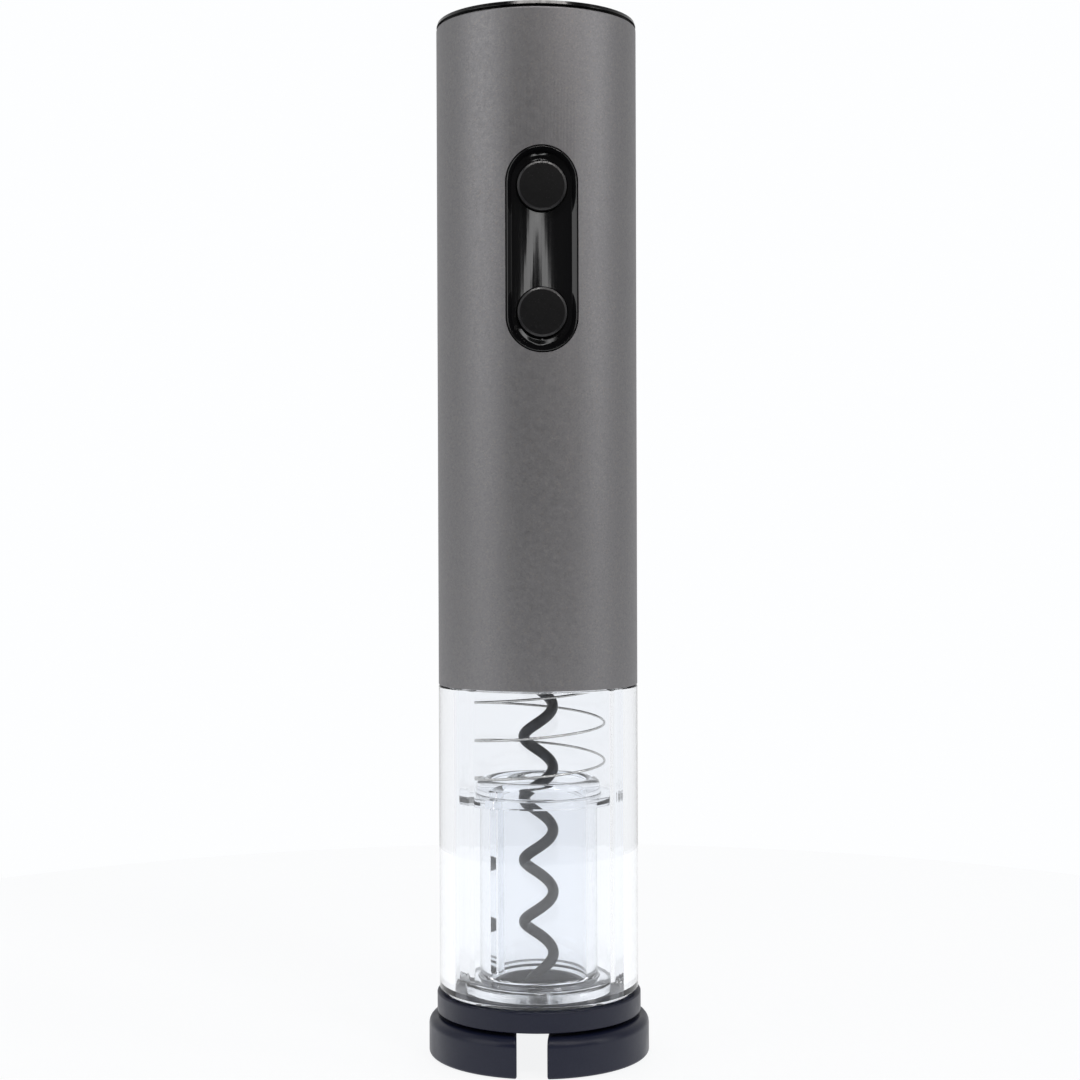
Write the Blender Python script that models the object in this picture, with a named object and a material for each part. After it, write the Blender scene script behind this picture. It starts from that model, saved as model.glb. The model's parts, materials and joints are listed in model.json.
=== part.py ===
"""Electric wine opener standing on its foil cutter: a motor turns a worm through two planetary gear stages.

The origin is on the floor under the middle of the opener. +Z is up along the worm and -Y is the front,
where the buttons are. Dimensions are in millimetres, and loft() turns them into metres.
"""

import math

import bmesh
import bpy
from mathutils import Matrix, Vector

MM = 0.001
GAP = 0.3  # clearance between pieces that rest on each other

# Housing
BODY_RADIUS = 24.0
SLEEVE_BOTTOM = 88.8
SLEEVE_TOP = 246.1
SLEEVE_INNER = 22.7
SHELL_OUTER = 22.2
SHELL_INNER = 20.5
SHELL_BOTTOM = 101.5
SHELL_TOP = 235.5
INNER_RADIUS = 20.2  # discs that fit inside the shells and the barrel's neck
HOUSING_STEPS = 36
INNER_STEPS = 24
SHARP_ANGLE = 35.0

# Clear barrel and the guide that slides in it
BARREL_BOTTOM = 15.2
BARREL_INNER = 20.6
NECK_OUTER = 22.3
NECK_TOP = 100.0
RIB_ANGLES = (30.0, 150.0, 210.0, 330.0)
RIB_STOP = 60.4  # the guide's upper flange rests on the ribs here
GUIDE_BORE = 11.6
GUIDE_TUBE = 14.2
SPRING_RADIUS = 16.0
SPRING_WIRE = 0.3
SPRING_BOTTOM = 63.5
SPRING_TOP = 95.5
SPRING_PITCH = 9.15
SPRING_LEFT_Z = 74.2  # height of a turn where it crosses the left side

# Worm: a right-handed helix
WORM_RADIUS = 3.5
WORM_WIRE = 1.33
WORM_PITCH = 14.88
WORM_RIGHT_Z = 23.38  # height of a turn where it crosses the right side
WORM_TIP = 16.3
WORM_HELIX_TOP = 86.5
WORM_SHANK = 92.0
WORM_TOP = 95.0

# Switch panel
PANEL_Z = 190.6
PANEL_WIDTH = 16.4
PANEL_HEIGHT = 47.2
PANEL_FRONT = 24.15
PANEL_BACK = 21.0
BUTTON_HEIGHTS = {"up_button": 205.1, "down_button": 176.1}
BUTTON_RADIUS = 5.68
BUTTON_FRONT = 23.75

# Planetary gears, the same in both stages
MODULE = 0.5
SUN_TEETH = 9
PLANET_TEETH = 24
RING_TEETH = 57
PLANET_ORBIT = MODULE * (SUN_TEETH + PLANET_TEETH) / 2
ADDENDUM = 0.75
DEDENDUM = 1.15
BACKLASH = 0.09
PLANET_ANGLES = (90.0, 210.0, 330.0)
PIN_RADIUS = 1.2
GEAR_FLOOR = 106.0
GEAR_TOP = 123.2
OUTPUT_DISC = (106.6, 108.8)
OUTPUT_PLANETS = (109.2, 113.8)
FIRST_DISC = (114.8, 116.8)
FIRST_PLANETS = (117.2, 121.4)

# Motor
MOTOR_RADIUS = 13.8
MOTOR_FRONT = 125.6
MOTOR_BACK = 157.0
MOUNT_LOW = GEAR_TOP + GAP
MOUNT_HIGH = MOTOR_FRONT - GAP
MOTOR_SCREW_X = 8.0
MOTOR_HOLE = 1.4
CHASSIS_SCREW_Y = 18.3
CHASSIS_HOLE = 1.25

# Battery pack
CELL_RADIUS = 7.1
CELL_BODY = 49.1
CELL_LENGTH = 50.2
CELL_OFFSET = 7.4
TRAY_TOP = 170.4
LOW_CELL = 171.5
HIGH_CELL = 176.9
CONTACT_THICKNESS = 0.3
CAP_FLOOR = 228.3

# Foil cutter, turned a little from the panel
CUTTER_TURN = -6.8
JAW_RADIUS = 26.7
JAW_TOP = 9.2
JAW_BORE = 16.8
SLOT_WIDTH = 7.0
PIVOT_Y = 22.2
COLLAR_RADIUS = 24.6
COLLAR_BOTTOM = 9.7
COLLAR_TOP = 14.9
WHEEL_RADIUS = 4.8
WHEEL_ORBIT = 19.8
WHEEL_Z = 4.4
WHEEL_ANGLES = (225.0, 135.0, 45.0, 315.0)

COLOURS = {
    "sleeve": ((0.115, 0.112, 0.115), 0.38, 0.85),
    "black_gloss": ((0.008, 0.008, 0.009), 0.08, 0.0),
    "black_matte": ((0.012, 0.012, 0.013), 0.55, 0.0),
    "clear": ((0.86, 0.9, 0.95), 0.04, 0.0),
    "cutter": ((0.03, 0.034, 0.042), 0.42, 0.0),
    "worm": ((0.035, 0.037, 0.042), 0.35, 0.6),
    "steel": ((0.55, 0.55, 0.54), 0.25, 1.0),
    "brass": ((0.62, 0.43, 0.17), 0.3, 1.0),
    "nickel": ((0.6, 0.58, 0.52), 0.3, 1.0),
    "frame": ((0.05, 0.05, 0.055), 0.5, 0.0),
    "gear": ((0.7, 0.7, 0.66), 0.45, 0.0),
    "iron": ((0.3, 0.29, 0.28), 0.45, 1.0),
    "magnet": ((0.05, 0.045, 0.045), 0.6, 0.3),
    "board": ((0.02, 0.13, 0.05), 0.4, 0.0),
    "cell": ((0.12, 0.13, 0.15), 0.3, 0.4),
    "red": ((0.45, 0.02, 0.02), 0.4, 0.0),
    "black_wire": ((0.015, 0.015, 0.015), 0.4, 0.0),
}


def clear_objects():
    for item in list(bpy.data.objects):
        bpy.data.objects.remove(item, do_unlink=True)


def material(name):
    found = bpy.data.materials.get(name)
    if found:
        return found
    colour, roughness, metallic = COLOURS[name]
    made = bpy.data.materials.new(name)
    made.use_nodes = True
    shader = made.node_tree.nodes["Principled BSDF"]
    shader.inputs["Base Color"].default_value = (*colour, 1.0)
    shader.inputs["Roughness"].default_value = roughness
    shader.inputs["Metallic"].default_value = metallic
    return made


def group(name, turn=0.0):
    """An empty on the main axis that carries pieces which move together."""
    empty = bpy.data.objects.new(name, None)
    bpy.context.collection.objects.link(empty)
    empty.rotation_euler.z = math.radians(turn)
    return empty


def add_object(name, mesh, colour, parent=None, location=(0, 0, 0), rotation=(0, 0, 0)):
    item = bpy.data.objects.new(name, mesh)
    bpy.context.collection.objects.link(item)
    if not mesh.materials:
        mesh.materials.append(material(colour))
    item.parent = parent
    item.location = Vector(location) * MM
    item.rotation_euler = [math.radians(angle) for angle in rotation]
    return item


def circle(radius, z, steps, centre=(0, 0)):
    """A loop of points round Z, or the one point on it where the radius is 0."""
    if radius == 0:
        return [(centre[0], centre[1], z)]
    angles = [2 * math.pi * i / steps for i in range(steps)]
    return [(centre[0] + radius * math.cos(a), centre[1] + radius * math.sin(a), z) for a in angles]


def stitch(mesh, lower, upper):
    """Faces between two closed loops round the same axis, also where their numbers of points differ."""
    if len(lower) == len(upper):
        for i in range(len(lower)):
            j = (i + 1) % len(lower)
            mesh.faces.new((lower[i], lower[j], upper[j], upper[i]))
        return
    i = j = 0
    while i < len(lower) or j < len(upper):
        next_lower = (i + 1) / len(lower) if len(lower) > 1 else 2.0
        next_upper = (j + 1) / len(upper) if len(upper) > 1 else 2.0
        a, b = lower[i % len(lower)], upper[j % len(upper)]
        if next_lower <= next_upper:
            mesh.faces.new((a, lower[(i + 1) % len(lower)], b))
            i += 1
        else:
            mesh.faces.new((a, upper[(j + 1) % len(upper)], b))
            j += 1
        if (len(lower) == 1 and j == len(upper)) or (len(upper) == 1 and i == len(lower)):
            return


def loft_mesh(name, loops, ring=False):
    """A closed skin through loops. A ring joins its last loop to its first, and otherwise the ends close."""
    mesh = bmesh.new()
    rows = [[mesh.verts.new(Vector(p) * MM) for p in loop] for loop in loops]
    for lower, upper in zip(rows, rows[1:]):
        stitch(mesh, lower, upper)
    if ring:
        stitch(mesh, rows[-1], rows[0])
    else:
        for row in (rows[0], rows[-1]):
            if len(row) > 2:
                mesh.faces.new(row)
    bmesh.ops.recalc_face_normals(mesh, faces=mesh.faces)
    data = bpy.data.meshes.new(name)
    mesh.to_mesh(data)
    mesh.free()
    data.shade_smooth()
    data.set_sharp_from_angle(angle=math.radians(SHARP_ANGLE))
    return data


def loft(name, loops, colour, ring=False, **placing):
    return add_object(name, loft_mesh(name, loops, ring), colour, **placing)


def turned(name, outline, steps, colour, centre=(0, 0), **placing):
    """A piece turned on a lathe from an outline of (radius, z)."""
    loops = [circle(r, z, steps, centre) for r, z in outline]
    ring = all(r > 0 for r, z in outline)
    return loft(name, loops, colour, ring, **placing)


def sector(name, outline, start, end, steps, colour, **placing):
    """Part of a turned piece, between two angles."""
    loops = []
    for i in range(steps + 1):
        angle = math.radians(start + (end - start) * i / steps)
        loops.append([(r * math.cos(angle), r * math.sin(angle), z) for r, z in outline])
    return loft(name, loops, colour, **placing)


def plate(name, outline, bottom, top, colour, **placing):
    """A flat plate of the given outline in X and Y."""
    loops = [[(x, y, z) for x, y in outline] for z in (bottom, top)]
    return loft(name, loops, colour, **placing)


def rectangle(x0, y0, x1, y1):
    return [(x0, y0), (x1, y0), (x1, y1), (x0, y1)]


def stadium(width, height, z_centre, y, steps=12):
    """A loop in the XZ plane at y with round ends."""
    radius = width / 2
    straight = height / 2 - radius
    points = []
    for side, start in ((1, 0.0), (-1, math.pi)):
        for i in range(steps + 1):
            angle = start + math.pi * i / steps
            z = z_centre + side * straight + radius * math.sin(angle)
            points.append((radius * math.cos(angle), y, z))
    return points


def cylinder_between(name, centre, radius, bottom, top, steps=12, **placing):
    outline = [(0, bottom), (radius, bottom), (radius, top), (0, top)]
    return turned(name, outline, steps, "steel", centre, **placing)


def tube_loops(path, radii, sides):
    """Round loops along a path of points, each square to the path."""
    points = [Vector(p) for p in path]
    loops = []
    across = None
    for i, point in enumerate(points):
        ahead = points[min(i + 1, len(points) - 1)] - points[max(i - 1, 0)]
        ahead.normalize()
        if across is None:
            across = ahead.orthogonal()
        across = (across - ahead * across.dot(ahead)).normalized()
        other = ahead.cross(across)
        loop = []
        for k in range(sides):
            angle = 2 * math.pi * k / sides
            loop.append(point + (across * math.cos(angle) + other * math.sin(angle)) * radii[i])
        loops.append(loop)
    return loops


def wire(name, path, radius, sides, colour, **placing):
    return loft(name, tube_loops(path, [radius] * len(path), sides), colour, **placing)


def helix(radius, pitch, bottom, top, start_angle, steps_per_turn):
    """Points of a right-handed helix round Z from bottom to top."""
    count = max(2, round(steps_per_turn * (top - bottom) / pitch))
    points = []
    for i in range(count + 1):
        z = bottom + (top - bottom) * i / count
        angle = math.radians(start_angle) + 2 * math.pi * (z - bottom) / pitch
        points.append((radius * math.cos(angle), radius * math.sin(angle), z))
    return points


def smooth_path(points, steps=4):
    """A Catmull-Rom curve through the points."""
    knots = [Vector(p) for p in points]
    knots = [2 * knots[0] - knots[1], *knots, 2 * knots[-1] - knots[-2]]
    path = []
    for a, b, c, d in zip(knots, knots[1:], knots[2:], knots[3:]):
        for i in range(steps):
            t = i / steps
            square = (2 * a - 5 * b + 4 * c - d) * t**2
            cube = (3 * b - a - 3 * c + d) * t**3
            path.append(0.5 * (2 * b + (c - a) * t + square + cube))
    path.append(knots[-2])
    return path


def boolean(target, tool, operation):
    """A live Boolean on the target. The tool stays in the file as a wire guide."""
    tool.hide_render = True
    tool.display_type = "WIRE"
    modifier = target.modifiers.new(operation.title(), "BOOLEAN")
    modifier.operation = operation
    modifier.solver = "EXACT"
    modifier.object = tool


def drill(target, centre, radius, bottom, top, steps=12, parent=None):
    """A hole along Z. It is turned a little, so that its edges don't fall on the target's own edges."""
    off_grid = 7.0
    placing = {"location": (*centre, 0), "rotation": (0, 0, off_grid), "parent": parent}
    hole = cylinder_between(f"{target.name}_hole", (0, 0), radius, bottom, top, steps, **placing)
    boolean(target, hole, "DIFFERENCE")


def gear_loop(teeth, z, first_tooth, internal=False):
    """A toothed loop with straight flanks, and a tooth centred on the angle first_tooth."""
    pitch_radius = MODULE * teeth / 2
    outward = -1 if internal else 1
    tip = pitch_radius + outward * ADDENDUM * MODULE
    root = pitch_radius - outward * DEDENDUM * MODULE
    half = math.pi * MODULE / 4 - BACKLASH
    slope = math.tan(math.radians(20))
    half_tip = (half - ADDENDUM * MODULE * slope) / tip
    half_root = (half + (0.25 if teeth < 12 else 0.9) * DEDENDUM * MODULE * slope) / root
    points = []
    for i in range(teeth):
        middle = math.radians(first_tooth) + 2 * math.pi * i / teeth
        for radius, offset in ((root, -half_root), (tip, -half_tip), (tip, half_tip), (root, half_root)):
            angle = middle + offset
            points.append((radius * math.cos(angle), radius * math.sin(angle), z))
    return points


def from_zero_angle(loop):
    """The same loop started at the point nearest above angle 0, to line up with a circle's points."""
    start = min(range(len(loop)), key=lambda i: math.atan2(loop[i][1], loop[i][0]) % (2 * math.pi))
    return loop[start:] + loop[:start]


def polar(radius, angle):
    return radius * math.cos(math.radians(angle)), radius * math.sin(math.radians(angle))


def make_sleeve():
    edge = 0.4
    outline = [
        (BODY_RADIUS, SLEEVE_BOTTOM + edge),
        (BODY_RADIUS, SLEEVE_TOP - edge),
        (BODY_RADIUS - edge, SLEEVE_TOP),
        (SLEEVE_INNER, SLEEVE_TOP),
        (SLEEVE_INNER, SLEEVE_BOTTOM),
        (BODY_RADIUS - edge, SLEEVE_BOTTOM),
    ]
    sleeve = turned("housing_sleeve", outline, HOUSING_STEPS, "sleeve")
    opening = [stadium(PANEL_WIDTH + 2 * GAP, PANEL_HEIGHT + 2 * GAP, PANEL_Z, y) for y in (-26.0, -16.0)]
    boolean(sleeve, loft("sleeve_window", opening, "sleeve"), "DIFFERENCE")


def make_bezel():
    body = [stadium(PANEL_WIDTH, PANEL_HEIGHT, PANEL_Z, y) for y in (-26.0, -PANEL_BACK)]
    bezel = loft("switch_bezel", body, "black_gloss")
    cylinder = cylinder_between("bezel_face", (0, 0), PANEL_FRONT, 160, 220, HOUSING_STEPS)
    boolean(bezel, cylinder, "INTERSECT")
    scoop = [stadium(PANEL_WIDTH - 1.8, PANEL_HEIGHT - 1.8, PANEL_Z, y) for y in (-26.0, -22.9)]
    boolean(bezel, loft("bezel_scoop", scoop, "black_gloss"), "DIFFERENCE")
    for z in BUTTON_HEIGHTS.values():
        radius = BUTTON_RADIUS + GAP + 0.05
        opening = [(0, 18.0), (radius, 18.0), (radius, 26.0), (0, 26.0)]
        cutter = turned("bezel_hole", opening, 24, "steel", location=(0, 0, z), rotation=(90, 0, 0))
        boolean(bezel, cutter, "DIFFERENCE")


def make_buttons():
    stem, flange = 1.5, 6.5
    back = PANEL_BACK - GAP
    outline = [
        (0, back - 1.1),
        (stem, back - 1.1),
        (stem, back - 0.8),
        (flange, back - 0.8),
        (flange, back),
        (BUTTON_RADIUS, back),
        (BUTTON_RADIUS, BUTTON_FRONT - 0.4),
        (BUTTON_RADIUS - 0.4, BUTTON_FRONT),
        (0, BUTTON_FRONT),
    ]
    for name, z in BUTTON_HEIGHTS.items():
        turned(name, outline, 20, "black_matte", location=(0, 0, z), rotation=(90, 0, 0))


def make_switch_board():
    front, back = 16.9, 15.3
    plate("switch_board", rectangle(-7.6, -front, 7.6, -back), 168.3, 212.6, "board")
    half = 3.0
    plunger = 1.6
    base = front + GAP
    for name, button in (("tact_switch_up", "up_button"), ("tact_switch_down", "down_button")):
        square = rectangle(-half, -half, half, half)
        loops = [[(x, y, depth) for x, y in square] for depth in (base, base + 1.1)]
        loops += [circle(plunger, depth, 12) for depth in (base + 1.1, base + 1.5)]
        loops = [from_zero_angle(loop) for loop in loops]
        centre = (0, 0, BUTTON_HEIGHTS[button])
        loft(name, loops, "black_matte", location=centre, rotation=(90, 0, 0))


def make_barrel():
    """A tube with a neck. Four ribs inside it stop the guide's upper flange."""
    steps = HOUSING_STEPS

    def inner(rib_radius, z):
        angles = [360 * i / steps for i in range(steps)]
        return [(*polar(rib_radius if a in RIB_ANGLES else BARREL_INNER, a), z) for a in angles]

    loops = [
        circle(BODY_RADIUS, BARREL_BOTTOM, steps),
        circle(BODY_RADIUS, SLEEVE_BOTTOM - GAP, steps),
        circle(NECK_OUTER, SLEEVE_BOTTOM - GAP, steps),
        circle(NECK_OUTER, NECK_TOP, steps),
        circle(BARREL_INNER, NECK_TOP, steps),
        circle(BARREL_INNER, SLEEVE_BOTTOM - GAP, steps),
        inner(19.2, SLEEVE_BOTTOM - GAP - 0.2),
        inner(19.2, RIB_STOP + 0.2),
        inner(18.0, RIB_STOP),
        inner(18.0, 19.0),
        circle(BARREL_INNER, 18.6, steps),
        circle(BARREL_INNER, BARREL_BOTTOM, steps),
    ]
    loft("clear_barrel", loops, "clear", ring=True)


def make_guide():
    """A sleeve that leads the cork, with six fine ribs in its bore, a foot, a flange and a domed collar."""
    steps = 30

    def bore(z):
        return [(*polar(10.7 if i % 5 == 0 else GUIDE_BORE, 360 * i / steps), z) for i in range(steps)]

    outline = [
        (12.6, 15.3), (16.9, 15.3), (17.5, 15.9), (17.5, 17.4), (16.9, 18.0), (15.4, 18.6),
        (GUIDE_TUBE, 21.0), (GUIDE_TUBE, 60.7), (18.65, 60.7), (18.65, 62.7), (15.0, 62.7),
        (15.0, 64.6), (14.5, 65.8), (13.4, 66.2), (12.4, 66.2),
    ]
    loops = [bore(65.4), bore(18.4), circle(GUIDE_BORE, 18.0, steps)]
    loops += [circle(r, z, steps) for r, z in outline]
    loft("guide_sleeve", loops, "clear", ring=True)


def make_guide_spring():
    start = 180 + 360 * (SPRING_BOTTOM - SPRING_LEFT_Z) / SPRING_PITCH - 3.1
    path = helix(SPRING_RADIUS, SPRING_PITCH, SPRING_BOTTOM, SPRING_TOP, start, 14)
    wire("guide_spring", path, SPRING_WIRE, 5, "steel")
    outline = [(8.0, 96.3), (INNER_RADIUS, 96.3), (INNER_RADIUS, 97.5), (8.0, 97.5)]
    turned("spring_seat", outline, INNER_STEPS, "frame")


def make_worm(parent):
    """A helix that comes to a point at the bottom, and runs into its straight shank at the top."""
    path, radii = [], []
    taper = 5.0
    start = 360 * (WORM_TIP - WORM_RIGHT_Z) / WORM_PITCH
    for x, y, z in helix(1.0, WORM_PITCH, WORM_TIP, WORM_SHANK, start, 12):
        shrink = min(1.0, max(0.0, (WORM_SHANK - z) / (WORM_SHANK - WORM_HELIX_TOP)))
        reach = WORM_RADIUS * shrink * shrink * (3 - 2 * shrink)
        path.append((x * reach, y * reach, z))
        radii.append(WORM_WIRE * min(1.0, 0.06 + (z - WORM_TIP) / taper))
    path += [(0, 0, WORM_SHANK + 1.0), (0, 0, WORM_TOP)]
    radii += [WORM_WIRE] * 2
    loft("worm_screw", tube_loops(path, radii, 6), "worm", parent=parent)
    bore, socket = WORM_WIRE + 0.5, 3.3
    hub = [
        (bore, 91.5), (5.4, 91.5), (6.0, 92.1), (6.0, 100.4), (socket, 100.4), (socket, WORM_TOP + 0.5),
        (bore, WORM_TOP + 0.5),
    ]
    turned("worm_hub", hub, 16, "steel", parent=parent)


def pins(target, disc_top, pin_top):
    for angle in PLANET_ANGLES:
        centre = polar(PLANET_ORBIT, angle)
        pin = cylinder_between(f"{target.name}_pin", centre, PIN_RADIUS, disc_top - 0.7, pin_top, 10)
        pin.parent = target.parent
        boolean(target, pin, "UNION")


def make_gear_train(output_group, first_group):
    disc = 12.6
    shaft = 3.0
    low, high = OUTPUT_DISC
    bottom = WORM_TOP + 0.8
    outline = [(0, bottom), (shaft, bottom), (shaft, low), (disc, low), (disc, high), (0, high)]
    output = turned("output_carrier", outline, 24, "steel", parent=output_group)
    pins(output, high, OUTPUT_PLANETS[1] + 0.5)
    low, high = FIRST_DISC
    sun_bottom = OUTPUT_PLANETS[0]
    loops = [gear_loop(SUN_TEETH, z, 90.0) for z in (sun_bottom, low)]
    loops = [from_zero_angle(loop) for loop in loops]
    loops += [circle(disc, z, 24) for z in (low, high)]
    first = loft("first_carrier", loops, "steel", parent=first_group)
    pins(first, high, FIRST_PLANETS[1] + 0.4)
    stages = (("second", output_group, OUTPUT_PLANETS), ("first", first_group, FIRST_PLANETS))
    for stage, parent, (low, high) in stages:
        bore = [circle(PIN_RADIUS + GAP, z, 10) for z in (low, high)]
        half_tooth = 180 / PLANET_TEETH
        teeth = [from_zero_angle(gear_loop(PLANET_TEETH, z, half_tooth)) for z in (high, low)]
        mesh = loft_mesh(f"{stage}_planet", bore + teeth, ring=True)
        for number, angle in enumerate(PLANET_ANGLES, 1):
            centre = (*polar(PLANET_ORBIT, angle), 0)
            add_object(f"{stage}_planet_{number}", mesh, "gear", parent, centre, (0, 0, angle))


def make_gearbox():
    """A ring gear in a cup: its floor holds the output bush, and its foot fills the barrel's neck."""
    steps = INNER_STEPS
    wall, bush_hole, recess = 16.2, 5.3, 10.0
    loops = [
        circle(recess, 97.8, steps),
        circle(INNER_RADIUS, 97.8, steps),
        circle(INNER_RADIUS, 101.0, steps),
        circle(wall, 101.0, steps),
        circle(wall, GEAR_TOP, steps),
        from_zero_angle(gear_loop(RING_TEETH, GEAR_TOP, 90.0, internal=True)),
        from_zero_angle(gear_loop(RING_TEETH, GEAR_FLOOR, 90.0, internal=True)),
        circle(bush_hole, GEAR_FLOOR, steps),
        circle(bush_hole, 103.0, steps),
        circle(recess, 103.0, steps),
    ]
    loft("gearbox_housing", loops, "frame", ring=True)
    bush = [(3.3, 101.9), (6.8, 101.9), (6.8, 102.7), (5.0, 102.7), (5.0, GEAR_FLOOR), (3.3, GEAR_FLOOR)]
    turned("output_bush", bush, 18, "brass")
    low, high, centre_hole = MOUNT_LOW, MOUNT_HIGH, 3.4
    outline = [(centre_hole, low), (INNER_RADIUS, low), (INNER_RADIUS, high), (centre_hole, high)]
    mount = turned("motor_mount", outline, steps, "steel")
    for side in (-1, 1):
        drill(mount, (side * MOTOR_SCREW_X, 0), MOTOR_HOLE, low - 1, high + 1)
        drill(mount, (0, side * CHASSIS_SCREW_Y), CHASSIS_HOLE, low - 1, high + 1)


def make_screws():
    """The motor's screws point up into its face, and the chassis screws down into the shells' ledge."""
    head, stem, seat = 2.2, 1.1, MOUNT_LOW - GAP
    outline = [(0, 122.0), (head, 122.0), (head, seat), (stem, seat), (stem, 128.0), (0, 128.0)]
    for name, side in (("motor_screw_left", -1), ("motor_screw_right", 1)):
        turned(name, outline, 12, "steel", (side * MOTOR_SCREW_X, 0))
    head, stem, seat = 1.8, 0.95, MOUNT_HIGH + GAP
    outline = [(0, 121.3), (stem, 121.3), (stem, seat), (head, seat), (head, 126.9), (0, 126.9)]
    for name, side in (("chassis_screw_front", -1), ("chassis_screw_rear", 1)):
        turned(name, outline, 12, "steel", (0, side * CHASSIS_SCREW_Y))


def make_motor(rotor_group):
    steps = INNER_STEPS
    inner = MOTOR_RADIUS - 0.8
    boss = 3.0
    outline = [
        (1.5, 123.9), (boss, 123.9), (boss, MOTOR_FRONT), (MOTOR_RADIUS, MOTOR_FRONT),
        (MOTOR_RADIUS, MOTOR_BACK), (inner, MOTOR_BACK), (inner, MOTOR_FRONT + 1.2), (1.5, MOTOR_FRONT + 1.2),
    ]
    can = turned("motor_can", outline, steps, "iron")
    for side in (-1, 1):
        drill(can, (side * MOTOR_SCREW_X, 0), MOTOR_HOLE, MOTOR_FRONT - 1, MOTOR_FRONT + 2)
    face, back = 10.2, inner - GAP
    magnet = [(face, 131.0), (back, 131.0), (back, 151.0), (face, 151.0)]
    sector("magnet_front", magnet, 205, 335, 8, "magnet")
    sector("magnet_rear", magnet, 25, 155, 8, "magnet")
    cap_low, cap_high = MOTOR_BACK + GAP, MOTOR_BACK + 3.0
    outline = [(1.5, cap_low), (MOTOR_RADIUS, cap_low), (MOTOR_RADIUS, cap_high), (1.5, cap_high)]
    cap = turned("motor_end_cap", outline, steps, "black_matte")
    for x in (-6.0, 6.0):
        blade = rectangle(x - 0.4, -1.4, x + 0.4, 1.4)
        tab = plate("terminal_tab", blade, cap_high - 1, cap_high + 3.5, "nickel")
        boolean(cap, tab, "UNION")
    cylinder_between("motor_shaft", (0, 0), 1.0, FIRST_PLANETS[0], cap_high + 0.4, 12, parent=rotor_group)
    bore = [circle(1.3, z, 12) for z in FIRST_PLANETS]
    teeth = [from_zero_angle(gear_loop(SUN_TEETH, z, 90.0)) for z in reversed(FIRST_PLANETS)]
    loft("motor_pinion", bore + teeth, "brass", ring=True, parent=rotor_group)
    core, commutator, bore_radius = 9.6, 3.4, 1.3
    armature = [
        (bore_radius, 129.5), (6.5, 129.5), (7.8, 131.5), (core, 132.5), (core, 149.0), (7.8, 150.0),
        (5.0, 151.5), (commutator, 151.5), (commutator, 156.6), (bore_radius, 156.6),
    ]
    turned("motor_armature", armature, 16, "iron", parent=rotor_group)


def make_chassis():
    """Two half shells with a ledge under the motor mount and a ledge under the battery tray."""
    inner, outer = SHELL_INNER, SHELL_OUTER
    tray_ledge, mount_ledge = 15.5, 16.6
    outline = [
        (inner, SHELL_BOTTOM), (outer, SHELL_BOTTOM), (outer, SHELL_TOP), (inner, SHELL_TOP),
        (inner, 167.5), (tray_ledge, 167.5), (tray_ledge, 165.0), (inner, 165.0),
        (inner, GEAR_TOP), (mount_ledge, GEAR_TOP), (mount_ledge, 120.9), (inner, 120.9),
    ]
    front = sector("chassis_front", outline, 180.4, 359.6, 14, "frame")
    rear = sector("chassis_rear", outline, 0.4, 179.6, 14, "frame")
    window = plate("chassis_window", rectangle(-8.7, -26.0, 8.7, -14.8), 164.0, 214.7, "frame")
    boolean(front, window, "DIFFERENCE")
    drill(front, (0, -CHASSIS_SCREW_Y), CHASSIS_HOLE, 120.0, 124.0)
    drill(rear, (0, CHASSIS_SCREW_Y), CHASSIS_HOLE, 120.0, 124.0)


def make_cells():
    """Two by two in series: cells 1 and 3 stand on their positive ends, 2 and 4 on their negative ones."""
    edge = 0.5
    outline = [
        (0, 0), (CELL_RADIUS - edge, 0), (CELL_RADIUS, edge), (CELL_RADIUS, CELL_BODY - edge),
        (CELL_RADIUS - edge, CELL_BODY), (2.7, CELL_BODY), (2.7, CELL_LENGTH), (0, CELL_LENGTH),
    ]
    mesh = loft_mesh("battery_cell", [circle(r, z, 16) for r, z in outline])
    corners = ((-1, -1), (1, -1), (1, 1), (-1, 1))
    for number, (x, y) in enumerate(corners, 1):
        place = (x * CELL_OFFSET, y * CELL_OFFSET)
        cell = add_object(f"battery_cell_{number}", mesh, "cell", location=(*place, HIGH_CELL))
        if number % 2:
            cell.location.z = (LOW_CELL + CELL_LENGTH) * MM
            cell.rotation_euler.x = math.pi


def add_coil(contact, centre, base, tip):
    """A conical contact spring that grows out of a contact plate."""
    turns, steps = 3, 8
    path = []
    for i in range(turns * steps + 1):
        share = i / (turns * steps)
        x, y = polar(3.4 - 1.2 * share, 360 * turns * share)
        path.append((centre[0] + x, centre[1] + y, base + (tip - base) * share))
    coil = wire(f"{contact.name}_coil", path, 0.35, 4, "nickel")
    coil.parent = contact.parent
    boolean(contact, coil, "UNION")


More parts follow.
